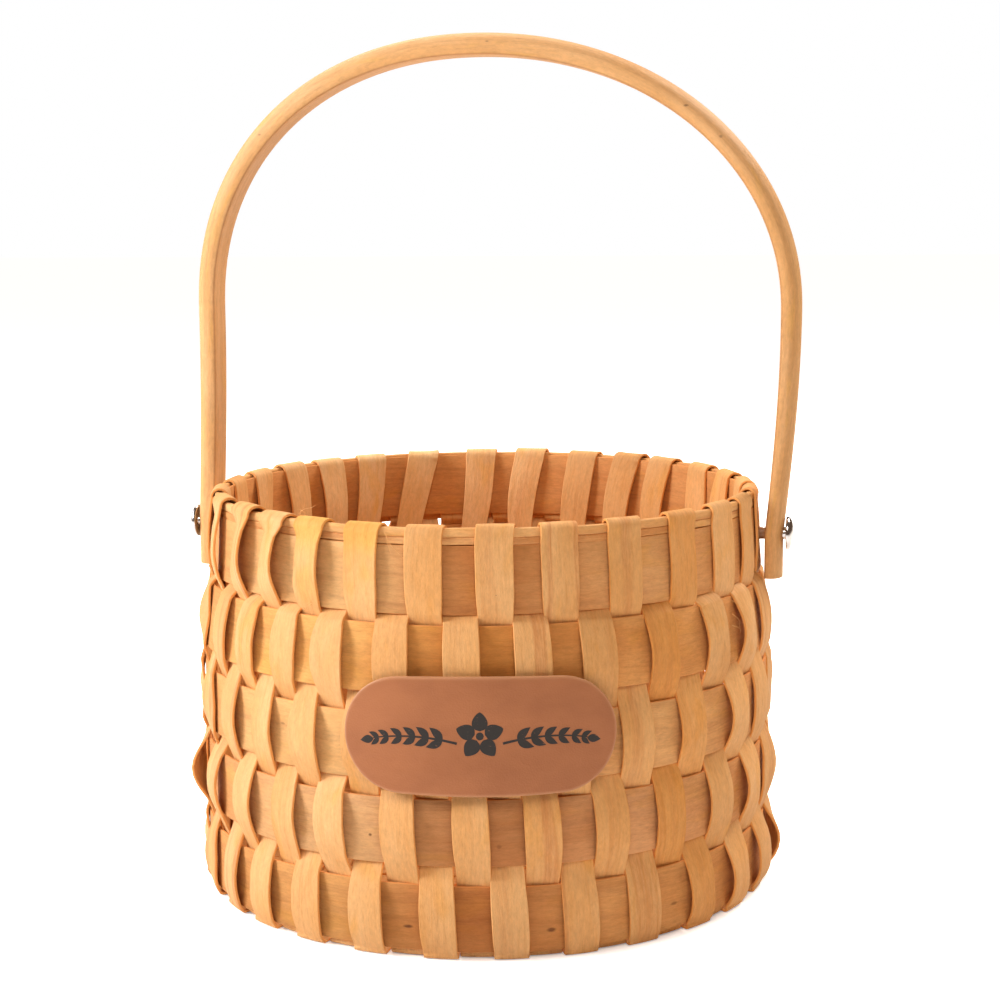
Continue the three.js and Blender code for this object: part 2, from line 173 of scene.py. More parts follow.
def rounded_off(stations, rounds=3):
    """Corners of the path cut until it is smooth."""
    for _ in range(rounds):
        cut = [stations[0]]
        for a, b in zip(stations, stations[1:]):
            cut += [mixed(a, b, 0.25), mixed(a, b, 0.75)]
        stations = [*cut, stations[-1]]
    return stations


def thinned(stations, reach=2.2, turn=0.13):
    """The path with no more stations than its bends need."""
    kept = [stations[0]]
    travelled = turned = 0
    for before, here, after in zip(stations, stations[1:], stations[2:]):
        step = Vector(here[:3]) - Vector(before[:3])
        following = Vector(after[:3]) - Vector(here[:3])
        travelled += step.length
        turned += step.angle(following, 0)
        if travelled > reach or turned > turn:
            kept.append(here)
            travelled = turned = 0
    return [*kept, stations[-1]]


def strip_section(width, thickness, cup):
    """Section of a strip as points across and out, with eased corners."""
    half = width / 2
    face = thickness / 2
    ease = 0.2
    inner = [-1, -0.55, 0, 0.55, 1]
    section = [((half - ease) * a, -face - cup * a * a) for a in inner]
    section.append((half, -face + ease - cup))
    section.append((half, face - ease - cup))
    section += [((half - ease) * a, face - cup * a * a) for a in reversed(inner)]
    section.append((-half, face - ease - cup))
    section.append((-half, -face + ease - cup))
    return section


SECTION_EDGE = [0.6, 0, 0, 0, 0.6, 1, 1, 0.6, 0, 0, 0, 0.6, 1, 1]


def wood_attributes(grain, edge, tint, stripes):
    return {
        "grain": ("FLOAT_VECTOR", "vector", grain),
        "edge": ("FLOAT", "value", edge),
        "tint": ("FLOAT_COLOR", "color", tint),
        "stripes": ("FLOAT", "value", stripes),
    }


def ribbon(stations, thickness=STRIP_THICKNESS, cup=0.12, seed=0.0):
    """Rings of a strip along its stations, with the attributes that its material reads."""
    rings, grain, edge, tint, stripes = ([] for _ in range(5))
    travelled = 0
    for i, here in enumerate(stations):
        before = Vector(stations[max(i - 1, 0)][:3])
        after = Vector(stations[min(i + 1, len(stations) - 1)][:3])
        centre = Vector(here[:3])
        along = (after - before).normalized()
        across = Vector(here[3:6])
        across = (across - along * across.dot(along)).normalized()
        out = across.cross(along)
        if i:
            travelled += (centre - Vector(stations[i - 1][:3])).length
        ring = []
        for (a, b), at_edge in zip(strip_section(here[6], thickness, cup), SECTION_EDGE):
            ring.append(centre + across * a + out * b)
            grain += [travelled, a, seed + b]
            edge.append(at_edge)
            tint += [*here[7:10], 1]
            stripes.append(here[10])
        rings.append(ring)
    return rings, wood_attributes(grain, edge, tint, stripes)


def band_radius(band, height):
    share = (height - band["bottom"]) / (band["top"] - band["bottom"])
    return band["foot"] + (band["head"] - band["foot"]) * share


def from_pivot(number):
    around = number % (STAKE_COUNT // 2)
    return min(around, STAKE_COUNT // 2 - around)


def crowd(number):
    reach = CROWD_REACH_BEFORE if number < CROWDED_STAKE else CROWD_REACH_AFTER
    distance = min(abs(number - CROWDED_STAKE) / reach, 1)
    return math.cos(distance * math.pi / 2) ** 2


def stake_turn(number, height):
    rise = min(max(height / RIM_TOP, 0), 1)
    twist = TWIST_AT_RIM + (TWIST_AT_FOOT - TWIST_AT_RIM) * (1 - rise) ** TWIST_POWER
    crowding = CROWDING_AT_FOOT + (CROWDING_AT_RIM - CROWDING_AT_FOOT) * rise
    return number * STEP + math.radians(twist + crowding * crowd(number))


def room_for(number, height):
    """The share of its width that a stake keeps where its neighbours crowd it."""
    here = stake_turn(number, height)
    before = here - stake_turn(number - 1, height)
    after = stake_turn(number + 1, height) - here
    return min(before / STEP, after / STEP, 1) ** 0.7


# Stakes that stand off their even places: row and stake, and millimetres round the wall
PLACES = {
    (1, 8): 0.7, (1, 10): -3.0, (1, 12): -2.8, (1, 14): -1.4, (1, 16): -1.6, (1, 20): 2.6, (1, 22): 3.0,
    (1, 24): 2.0, (1, 36): -0.3, (1, 38): -0.3, (1, 40): 0.4, (1, 46): -0.9, (1, 48): -0.5, (1, 50): 1.2,
    (1, 49): 0.9, (1, 52): 1.5,
    (2, 30): 2.6, (2, 31): 3.0, (2, 33): 2.2, (2, 47): -1.1, (2, 49): 0.0, (2, 51): 2.2,
    (3, 6): -0.9, (3, 30): 5.2, (3, 32): 3.0, (3, 34): 1.2, (3, 48): -0.7, (3, 50): -0.7, (3, 51): 1.8,
    (3, 52): 1.3, (3, 54): -0.7,
    (4, 6): -0.9, (4, 7): -0.9, (4, 30): 3.6, (4, 33): -1.6, (4, 39): -1.5, (4, 43): 0.6,
    (5, 30): 5.0, (5, 32): 3.2, (5, 34): 1.0, (5, 36): -1.5, (5, 38): -1.8, (5, 40): -1.1, (5, 50): 1.1,
}

# Stakes with a bow of their own over a band: how far it bulges, and the slope that turns its face
BOWS = {
    (1, 32): (2.2, 0.15), (1, 34): (2.8, 0.38), (1, 36): (3.2, 0.48), (1, 38): (2.4, 0.30),
    (1, 40): (1.2, 0.10),
    (2, 1): (0.5, 0.0), (2, 29): (0.8, -0.10), (2, 31): (1.0, -0.25), (2, 33): (1.5, 0.05),
    (2, 35): (1.8, 0.12), (2, 49): (2.2, -0.12), (2, 51): (2.0, -0.10), (2, 53): (2.4, -0.16),
    (2, 55): (1.6, 0.10),
    (3, 0): (0.3, 0.10), (3, 30): (0.5, -0.24), (3, 32): (1.2, -0.18), (3, 34): (2.0, 0.12),
    (3, 52): (2.6, -0.10), (3, 54): (1.6, 0.12),
    (4, 1): (0.6, 0.10), (4, 29): (1.2, 0.0), (4, 31): (3.0, 0.58), (4, 33): (2.8, 0.10),
    (4, 35): (2.6, 0.12), (4, 53): (2.4, -0.10), (4, 55): (1.8, 0.25),
    (5, 0): (2.8, -0.40), (5, 30): (0.5, -0.25), (5, 32): (1.8, -0.16), (5, 34): (1.9, 0.14),
    (5, 36): (1.9, 0.10), (5, 50): (2.4, -0.10), (5, 52): (2.8, -0.12), (5, 54): (2.8, 0.05),
}

# How far some folded ends lean round the rim, in millimetres at the tip
LEANS = {8: 7.0, 10: 8.0, 12: 5.6, 14: 5.2, 16: 4.0, 18: 8.3, 20: 3.5, 22: -3.0, 24: -5.0}

# The folds: height of the crest, rise over it, lengths of the ends and the stakes pinched at the back
FOLD_CREST = 125.6
FOLD_RISE = 2.7
FOLD_ENDS = (26, 31)
PINCHED_STAKES = range(8, 21)

# Painted light: the wood of the folded ends inside the rim is drawn this much brighter, standing for light
# falling into the basket
INNER_PAINTED_LIGHT = 1.08

# Folds with an orange stain
STAINED = (38, 40)

# Stakes with wood of their own: brightness, warmth, and how strong their brown stripes are. On the folded
# back stakes 8 to 26 brightness and warmth are painted light and shade: darker and warmer at 8 to 12, where
# the inside of the right back lies in shade, paler at 14 to 26, where light falls on the inside of the left
# back
STAKE_WOOD_AND_PAINTED_LIGHT = {
    8: (0.90, 0.05, 0.2), 10: (0.87, 0.06, 0.2), 12: (0.92, 0.04, 0.2), 14: (1.05, -0.12, 0.3),
    16: (1.08, -0.20, 0.2), 18: (1.10, -0.28, 0.1), 20: (1.10, -0.28, 0.1), 22: (1.10, -0.28, 0.1),
    24: (1.08, -0.22, 0.1), 26: (1.05, -0.12, 0.1),
    37: (1.02, 0.0, 0.2), 38: (1.0, 0.03, 0.1), 39: (1.03, -0.03, 0.0), 40: (1.02, 0.0, 0.0),
    41: (1.02, 0.0, 0.1), 42: (0.99, 0.04, 0.1), 43: (1.0, -0.02, 0.1), 44: (1.0, 0.0, 0.3),
    45: (1.02, 0.0, 0.8), 46: (1.0, 0.02, 0.8), 47: (0.96, 0.04, 0.2), 48: (0.97, 0.04, 0.5),
    49: (0.93, 0.27, 0.3), 50: (0.97, 0.16, 0.1), 51: (0.98, 0.0, 0.1),
}


def place_of(row, number, otherwise):
    """How far a stake stands off its even place. Without a place of its own it follows the rows beside it."""
    near = [PLACES[key] for key in ((row - 1, number), (row + 1, number)) if key in PLACES]
    return PLACES.get((row, number), sum(near) / 2 if near else otherwise)


def fold_lean(number, draw):
    """How far the folded end leans round the rim, in millimetres at its tip."""
    return LEANS.get(number, draw.uniform(4.0, 7.0) if number >= 50 or number < 8 else draw.uniform(1.5, 4.5))


def stake_controls(number):
    """The control stations of a stake, from under the wall to its tip. Even stakes fold over the rim."""
    draw = random.Random(100 + number % STAKE_COUNT)
    number = number % STAKE_COUNT
    folded = number % 2 == 0
    # Some folded back stakes take painted light and shade in their brightness from the table above
    tone_and_painted_light, warmth, stripes = STAKE_WOOD_AND_PAINTED_LIGHT.get(
        number, (draw.uniform(0.95, 1.03), draw.uniform(-0.03, 0.04), draw.uniform(0, 1) ** 3)
    )
    controls = []

    def put(radius, height, width=STAKE_WIDTH, shift=0.0, tilt=0.0, shade=1.0, stain=0.0):
        angle = stake_turn(number, height)
        outward = Vector((math.cos(angle), math.sin(angle), 0))
        sideways = Vector((-math.sin(angle), math.cos(angle), 0))
        across = (sideways + outward * tilt).normalized()
        centre = outward * radius + sideways * shift + UP * height
        level = tone_and_painted_light * shade
        tint = (level, level * (1 - warmth * 0.6), level * (1 - warmth * 1.6) * (1 - stain), stripes)
        controls.append(station(centre, across, width, tint))

    # Under the wall
    first = BANDS[0]
    edge = OUTSIDE_EDGE if folded else INSIDE_EDGE
    foot = first["foot"] + edge
    first_shift = place_of(5, number, random.Random(700 + number).uniform(-0.35, 0.35))
    # This station under the wall is drawn a tenth darker: painted shade under the base
    put(foot - 3.4, 0.75, PINCH_WIDTH - 0.6, first_shift * 0.7, 0, 0.9)
    put(foot - 1.6, 0.46, PINCH_WIDTH, first_shift)
    put(foot - 0.4, 0.6, PINCH_WIDTH, first_shift)
    put(foot, 1.4, PINCH_WIDTH, first_shift)

    # Outside one band, inside the next
    for index, band in enumerate(BANDS):
        outside = (index % 2 == 0) == folded
        edge = OUTSIDE_EDGE if outside else INSIDE_EDGE
        belly = (OUTSIDE_BELLY if outside else INSIDE_BELLY) * draw.uniform(0.7, 1.25)
        if index == 4:
            belly = 0.5 + 1.9 * crowd(number) + draw.uniform(0, 0.5) if outside else -0.1
        if index >= 3 and outside:
            belly = min(belly, 0.3 + 0.4 * from_pivot(number))
        drawn = draw.uniform(-0.35, 0.35)
        shift = place_of(band["row"], number, drawn) if index else first_shift
        tilt = draw.uniform(-0.07, 0.07)
        if outside:
            tilt += CROWDED_TILT * crowd(number) * min(belly / 1.5, 1)
            belly, tilt = BOWS.get((band["row"], number), (belly, tilt))
        shade = draw.uniform(0.97, 1.03)
        height = band["top"] - band["bottom"]
        top = height + (0.25 if index < 4 else 0)
        widest = RIM_WIDTH if index == 4 else STAKE_WIDTH
        for level in (-0.25, 1.4, 0.26 * height, 0.5 * height, 0.74 * height, height - 1.4, top):
            if index == 4 and not folded and level > height - 1:
                continue
            share = min(max(level / height, 0), 1)
            middle = 1 - abs(2 * share - 1)
            bulge = belly * (1 - abs(2 * share - 1) ** (4 if index == 0 and share < 0.5 else 2.2))
            if index == 4 and share > 0.5:
                middle = 1
                bulge = belly * (1 - (1 - RIM_FULLNESS) * (2 * share - 1) ** 2.2)
            pinch = PINCH_WIDTH * room_for(number, band["bottom"] + level)
            if number in PINCHED_STAKES and ((index == 3 and share > 0.9) or (index == 4 and share < 0.1)):
                pinch = BACK_PINCH_WIDTH
            width = pinch + (widest - pinch) * min(2.2 * middle, 1)
            radius = band_radius(band, band["bottom"] + share * height) + edge + bulge
            lift = tilt * middle + SHINGLE_TILT * (1 - middle) ** 2
            stain = 0.3 * max(share - 0.75, 0) / 0.25 if index == 4 and number in STAINED else 0
            put(radius, band["bottom"] + level, width, shift, lift, shade, stain)
    if not folded:
        tip = RIM_TOP - 0.7
        put(RIM_RADIUS + INSIDE_EDGE, tip, PINCH_WIDTH)
        return controls

    # Over the reeds, and down inside the rim
    crest = FOLD_CREST + draw.uniform(-0.3, 0.4) + 0.6 * crowd(number)
    lean = fold_lean(number, draw)
    outer = RIM_RADIUS + OUTSIDE_EDGE + belly * RIM_FULLNESS
    inner = RIM_RADIUS - 4.3
    stain = 0.35 if number in STAINED else 0
    middle = (outer + inner) / 2
    reach = (outer - inner) / 2
    for turn in range(0, 181, 30):
        swing = math.radians(turn)
        lift = FOLD_RISE * math.sin(swing)
        side = shift + lean * (0.04 + turn / 700)
        put(middle + (reach + 0.05) * math.cos(swing), crest + lift, RIM_WIDTH, side, 0, 1, stain)
    tail = draw.uniform(*FOLD_ENDS)
    sway = draw.uniform(-0.8, 0.8)
    bow = draw.uniform(0.5, 1.8)
    turned = draw.uniform(-0.05, 0.2)
    for share in (0.1, 0.3, 0.5, 0.7, 0.9, 1.0):
        height = crest - tail * share
        narrow = 0.3 + 2.0 * share * share
        side = shift + lean * (0.3 + 0.7 * share) + sway * math.sin(share * math.pi)
        slope = 0.05 * max(RIM_TOP - height, 0) if share < 0.65 else 0.05 * (RIM_TOP - crest + tail * 0.65)
        arch = math.sin(share * math.pi)
        # The folded ends inside the rim are drawn brighter by painted light
        put(inner + slope - bow * arch, height, RIM_WIDTH - narrow, side, -turned * arch, INNER_PAINTED_LIGHT)
    return controls


def strip_stations(index, turned):
    """The whole path of a strip: a stake, the woven base and the stake at its other end."""
    base = Matrix.Rotation(stake_turn(0, 0) + STEP / 2 + (math.pi / 2 if turned else 0), 3, "Z")
    sideways = (index + 0.5) * BASE_PITCH
    across = base @ Vector((0, 1, 0))
    quarter = STRIPS_EACH_WAY if turned else 0
    far = stake_controls(index + 1 + quarter)
    near = stake_controls(2 * STRIPS_EACH_WAY - index + quarter)
    for row in near:
        row[3:6] = [-value for value in row[3:6]]
    middle = []
    for crossing in range(-STRIPS_EACH_WAY // 2, STRIPS_EACH_WAY // 2):
        over = (index + crossing) % 2 != 0
        height = BASE_MIDDLE + (BASE_HALF_RISE if over else -BASE_HALF_RISE)
        for reach in (-BASE_CROSSING_REACH, 0, BASE_CROSSING_REACH):
            along = (crossing + 0.5) * BASE_PITCH + reach
            centre = base @ Vector((along, sideways, height))
            middle.append(station(centre, across, BASE_STRIP_WIDTH, (0.97, 0.97, 0.97, 0.2)))
    return [*reversed(near), *middle, *far]


# Materials


def new_material(name):
    material = bpy.data.materials.new(name)
    material.use_nodes = True
    tree = material.node_tree
    shader = tree.nodes["Principled BSDF"]
    return material, tree, shader


def add_node(tree, kind, inputs=None, **settings):
    """A node with its settings. Each input is a socket to link or a plain value."""
    made = tree.nodes.new(f"ShaderNode{kind}")
    for key, value in settings.items():
        setattr(made, key, value)
    for key, value in (inputs or {}).items():
        if isinstance(value, bpy.types.NodeSocket):
            tree.links.new(value, made.inputs[key])
        else:
            made.inputs[key].default_value = value
    return made


def attribute(tree, name):
    return add_node(tree, "Attribute", attribute_name=name)


def noise(tree, vector, stretch, detail=3.0, roughness=0.6, distortion=0.0, output="Fac"):
    """Noise over a vector that is first scaled by three numbers."""
    scaled = add_node(tree, "Mapping", {"Vector": vector, "Scale": stretch}).outputs["Vector"]
    inputs = {"Vector": scaled, "Scale": 1.0, "Detail": detail, "Roughness": roughness}
    return add_node(tree, "TexNoise", {**inputs, "Distortion": distortion}).outputs[output]


def ranged(tree, value, low, high, to_low=0.0, to_high=1.0, smooth=False):
    inputs = {"Value": value, "From Min": low, "From Max": high, "To Min": to_low, "To Max": to_high}
    kind = "SMOOTHSTEP" if smooth else "LINEAR"
    return add_node(tree, "MapRange", inputs, interpolation_type=kind).outputs["Result"]


def blended(tree, share, first, second, mode="MIX"):
    """A mix of two colours, each a socket or a plain colour."""
    inputs = {0: share, 6: first, 7: second}
    return add_node(tree, "Mix", inputs, data_type="RGBA", blend_type=mode).outputs[2]


def calculated(tree, operation, first, second):
    return add_node(tree, "Math", {0: first, 1: second}, operation=operation).outputs[0]


def spot(tree, place, size):
    """A share that is 1 in the middle of a spot and 0 outside it. Place and half sizes are in millimetres."""
    here = add_node(tree, "TexCoord").outputs["Object"]
    middle = [value * METRES for value in place]
    half = [value * METRES for value in size]
    offset = add_node(tree, "VectorMath", {0: here, 1: middle}, operation="SUBTRACT").outputs[0]
    scaled = add_node(tree, "VectorMath", {0: offset, 1: half}, operation="DIVIDE").outputs[0]
    distance = add_node(tree, "VectorMath", {0: scaled}, operation="LENGTH").outputs["Value"]
    return ranged(tree, distance, 1.0, 0.3, 0, 1, True)


def bumped(tree, shader, height, strength, distance):
    bump = add_node(tree, "Bump", {"Height": height, "Strength": strength, "Distance": distance})
    tree.links.new(bump.outputs["Normal"], shader.inputs["Normal"])


def colour(red, green, blue):
    """A colour given as a screen shows it, turned into the linear one that nodes take."""

    def linear(value):
        return value / 12.92 if value <= 0.04045 else ((value + 0.055) / 1.055) ** 2.4

    return (linear(red), linear(green), linear(blue), 1)


def wandering(tree, grain, reach):
    """The grain coordinate with its lines bent sideways a little by slow noise."""
    slow = noise(tree, grain, (0.014, 0.07, 0.37), 1.5, 0.5, output="Color")
    inputs = {0: slow, 1: (0, reach, 0), 2: grain}
    return add_node(tree, "VectorMath", inputs, operation="MULTIPLY_ADD").outputs[0]


def wood(
    name, pale, deep, yellow, streak, stripe, fleck, edge_colour_and_painted_highlight, roughness, streak_share, fleck_share, marks
):
    """Sliced wood from the grain attribute: slow patches, wandering streaks, stripes and short flecks."""
    material, tree, shader = new_material(name)
    grain = attribute(tree, "grain").outputs["Vector"]
    bent = wandering(tree, grain, 9.0)
    patches = noise(tree, grain, (0.03, 0.07, 0.37), 2.0)
    stains = noise(tree, grain, (0.055, 0.11, 0.83), 2.0, 0.5, 0.4)
    streaks = noise(tree, bent, (0.05, 0.9, 0.37), 6.0, 0.75, 0.4)
    broad = noise(tree, bent, (0.004, 0.21, 0.61), 1.5, 0.5, 0.3)
    flecks = noise(tree, bent, (0.5, 4.2, 1.0), 3.0, 0.8)
    mottle = noise(tree, grain, (0.4, 1.1, 1.0), 5.0, 0.75)
    body = blended(tree, ranged(tree, patches, 0.38, 0.62), pale, deep)
    body = blended(tree, ranged(tree, stains, 0.56, 0.74, 0, 0.55, True), body, yellow)
    body = blended(tree, ranged(tree, streaks, 0.46, 0.70, 0, streak_share, True), body, streak)
    lines = ranged(tree, broad, 0.53, 0.60, 0, 1, True)
    fine_lines = ranged(tree, streaks, 0.35, 0.55, 0.25, 1)
    strength = attribute(tree, "stripes").outputs["Fac"]
    lines = calculated(tree, "MULTIPLY", calculated(tree, "MULTIPLY", lines, fine_lines), strength)
    body = blended(tree, calculated(tree, "MULTIPLY", lines, 0.6), body, stripe)
    body = blended(tree, ranged(tree, flecks, 0.50, 0.72, 0, fleck_share, True), body, fleck)
    level = ranged(tree, mottle, 0.3, 0.7, 0.87, 1.11)
    body = blended(tree, 1.0, body, level, "MULTIPLY")
    # The tint attribute holds the wood's own tone and, on the bands and some stakes, painted light and shade
    body = blended(tree, 1.0, body, attribute(tree, "tint").outputs["Color"], "MULTIPLY")
    for place, size, strength in marks:
        ragged = calculated(tree, "MULTIPLY", spot(tree, place, size), ranged(tree, flecks, 0.3, 0.6, 0.6, 1))
        body = blended(tree, calculated(tree, "MULTIPLY", ragged, strength), body, MARK_COLOUR)
    # Edges take their own colour: on the strips and bands a brighter orange that is partly the cut edges'
    # colour and partly a painted highlight where light catches them
    rim = ranged(tree, attribute(tree, "edge").outputs["Fac"], 0.6, 1.0, 0, 0.7)
    body = blended(tree, rim, body, edge_colour_and_painted_highlight)
    tree.links.new(body, shader.inputs["Base Color"])
    polish = ranged(tree, streaks, 0.3, 0.7, roughness - 0.06, roughness + 0.08)
    tree.links.new(polish, shader.inputs["Roughness"])
    shader.inputs["Specular IOR Level"].default_value = 0.3
    relief = calculated(tree, "ADD", streaks, calculated(tree, "MULTIPLY", flecks, 0.7))
    bumped(tree, shader, relief, 0.6, 0.0003)
    return material


MARK_COLOUR = colour(0.33, 0.17, 0.1)


def on_wall(azimuth, height, radius):
    azimuth = math.radians(azimuth)
    return (radius * math.cos(azimuth), radius * math.sin(azimuth), height)


CHIP_WOOD = wood(
    "chip_wood",
    pale=colour(0.89, 0.69, 0.465),
    deep=colour(0.87, 0.648, 0.405),
    yellow=colour(0.88, 0.63, 0.31),
    streak=colour(0.82, 0.58, 0.33),
    stripe=colour(0.74, 0.45, 0.25),
    fleck=colour(0.81, 0.57, 0.32),
    # The edge colour is partly a painted highlight along the strip edges
    edge_colour_and_painted_highlight=colour(0.93, 0.64, 0.34),
    roughness=0.62,
    streak_share=0.5,
    fleck_share=0.5,
    marks=[(on_wall(283.0, 108.5, RIM_RADIUS + 1.5), (0.35, 1.5, 0.3), 1.0)],
)

# Marks on the bands: azimuth, height, half sizes and strength
BAND_MARKS = [
    (266.2, 9.5, (2.0, 3.0, 0.7), 0.9),
    (292.4, 8.5, (1.8, 3.0, 0.9), 0.9),
    (259.2, 36.5, (0.7, 2.0, 0.6), 0.9),
    (283.0, 34.5, (1.0, 3.0, 0.9), 0.4),
    (240.0, 66.0, (1.2, 2.0, 0.5), 0.5),
    (318.0, 10.0, (1.3, 3.0, 0.7), 0.6),
    (301.0, 60.0, (0.8, 2.0, 0.8), 0.5),
    (120.0, 40.0, (1.6, 2.5, 0.8), 0.8),
    (75.0, 62.0, (1.6, 2.5, 0.7), 0.8),
    (20.0, 14.0, (2.5, 1.6, 0.8), 0.8),
]
BAND_WOOD = wood(
    "band_wood",
    pale=colour(0.85, 0.6, 0.36),
    deep=colour(0.82, 0.555, 0.315),
    yellow=colour(0.85, 0.59, 0.29),
    streak=colour(0.74, 0.48, 0.27),
    stripe=colour(0.6, 0.37, 0.23),
    fleck=colour(0.73, 0.48, 0.27),
    # The edge colour is partly a painted highlight along the band edges
    edge_colour_and_painted_highlight=colour(0.88, 0.59, 0.33),
    roughness=0.7,
    streak_share=0.4,
    fleck_share=0.4,
    marks=[(on_wall(a, h, WALL_RADIUS), size, strength) for a, h, size, strength in BAND_MARKS],
)
BENT_WOOD = wood(
    "bent_wood",
    pale=colour(0.885, 0.69, 0.48),
    deep=colour(0.87, 0.66, 0.43),
    yellow=colour(0.88, 0.68, 0.38),
    streak=colour(0.78, 0.58, 0.37),
    stripe=colour(0.7, 0.49, 0.29),
    fleck=colour(0.79, 0.6, 0.4),
    edge_colour_and_painted_highlight=colour(0.68, 0.47, 0.29),
    roughness=0.5,
    streak_share=0.5,
    fleck_share=0.35,
    marks=[
        ((-72.7, -5.0, 242.2), (1.0, 2.0, 0.5), 0.6),
        ((3.0, -5.0, 270.2), (0.8, 2.0, 0.4), 0.6),
        ((66.1, -5.0, 249.2), (1.2, 2.0, 0.6), 0.8),
        ((77.0, -5.0, 239.5), (0.9, 2.0, 0.8), 0.6),
    ],
)


def metal():
    material, tree, shader = new_material("bright_metal")
    place = add_node(tree, "TexCoord").outputs["Object"]
    smudges = noise(tree, place, (260, 260, 260), 3.0)
    tree.links.new(ranged(tree, smudges, 0.35, 0.7, 0.1, 0.22), shader.inputs["Roughness"])
    tint = blended(tree, smudges, colour(0.9, 0.9, 0.91), colour(0.82, 0.82, 0.84))
    tree.links.new(tint, shader.inputs["Base Color"])
    shader.inputs["Metallic"].default_value = 1
    return material


BRIGHT_METAL = metal()


def leather():
    material, tree, shader = new_material("leather")
    flat = attribute(tree, "grain").outputs["Vector"]
    pores = add_node(tree, "TexVoronoi", {"Vector": flat, "Scale": 1.9})
    clouds = noise(tree, flat, (0.05, 0.08, 1.0), 3.0)
    creases = noise(tree, flat, (0.5, 0.9, 1.0), 6.0, 0.7, 0.6)
    pale = colour(0.665, 0.41, 0.245)
    body = blended(tree, ranged(tree, clouds, 0.35, 0.65), pale, colour(0.625, 0.38, 0.225))
    body = blended(tree, ranged(tree, creases, 0.62, 0.75, 0, 0.2, True), body, colour(0.78, 0.55, 0.39))
    worn = attribute(tree, "edge").outputs["Fac"]
    body = blended(tree, calculated(tree, "MULTIPLY", worn, 0.55), body, colour(0.86, 0.66, 0.5))
    tree.links.new(body, shader.inputs["Base Color"])
    tree.links.new(ranged(tree, clouds, 0.3, 0.7, 0.42, 0.55), shader.inputs["Roughness"])
    relief = calculated(tree, "ADD", pores.outputs["Distance"], calculated(tree, "MULTIPLY", creases, 1.5))
    bumped(tree, shader, relief, 0.35, 0.00015)
    return material


LEATHER = leather()


def ink():
    material, tree, shader = new_material("dark_print")
    flat = attribute(tree, "grain").outputs["Vector"]
    scratches = noise(tree, flat, (0.7, 2.6, 1.0), 5.0, 0.7, 0.5)
    worn = ranged(tree, scratches, 0.64, 0.7, 0, 0.8, True)
    body = blended(tree, worn, colour(0.1, 0.08, 0.08), colour(0.68, 0.46, 0.34))
    tree.links.new(body, shader.inputs["Base Color"])
    shader.inputs["Roughness"].default_value = 0.45
    return material


INK = ink()


# Building the strips
for letter, turned in (("x", False), ("y", True)):
    for place in range(STRIPS_EACH_WAY):
        index = place - STRIPS_EACH_WAY // 2
        name = f"strip_{letter}_{place + 1:02d}"
        stations = thinned(rounded_off(strip_stations(index, turned)))
        seed = 41.3 * place + (700 if turned else 0)
        rings, attributes = ribbon(stations, seed=seed)
        points, faces = loft(rings)
        add_piece(f"wood_{name}", points, faces, CHIP_WOOD, "basket", attributes, [name])


# Bands


# Painted light and shade on each band at the left of the front, in its middle and at its right: lighter at
# the left and right, where light falls, and darker in the middle of the front, where the bands lie in shade
# between the stakes
BAND_PAINTED_LIGHT = {
    1: ((1.14, 1.52, 2.00), (0.74, 0.65, 0.57), (1.06, 1.22, 1.50)),
    2: ((1.16, 1.34, 1.24), (0.82, 0.70, 0.42), (1.06, 1.10, 1.08)),
    3: ((1.16, 1.54, 1.95), (0.80, 0.75, 0.70), (1.16, 1.44, 1.80)),
    4: ((1.04, 1.32, 1.80), (0.74, 0.70, 0.76), (1.00, 1.10, 1.45)),
    5: ((0.94, 1.04, 1.02), (0.78, 0.66, 0.56), (1.04, 1.12, 1.18)),
}
PAINTED_LIGHT_AZIMUTHS = (200, 249, 279, 310, 350)


def band_light_and_shade(row, angle):
    """The painted light and shade of a band at an angle, which passes smoothly from one stretch to the next.
    """
    plain = (1.0, 1.0, 1.0)
    painted_levels = (plain, *BAND_PAINTED_LIGHT.get(row, (plain, plain, plain)), plain)
    azimuth = math.degrees(angle) % 360
    for first, last, here, after in zip(PAINTED_LIGHT_AZIMUTHS, PAINTED_LIGHT_AZIMUTHS[1:], painted_levels, painted_levels[1:]):
        if first <= azimuth < last:
            share = (azimuth - first) / (last - first)
            return [*mixed(here, after, share * share * (3 - 2 * share)), 1]
    return [*plain, 1]


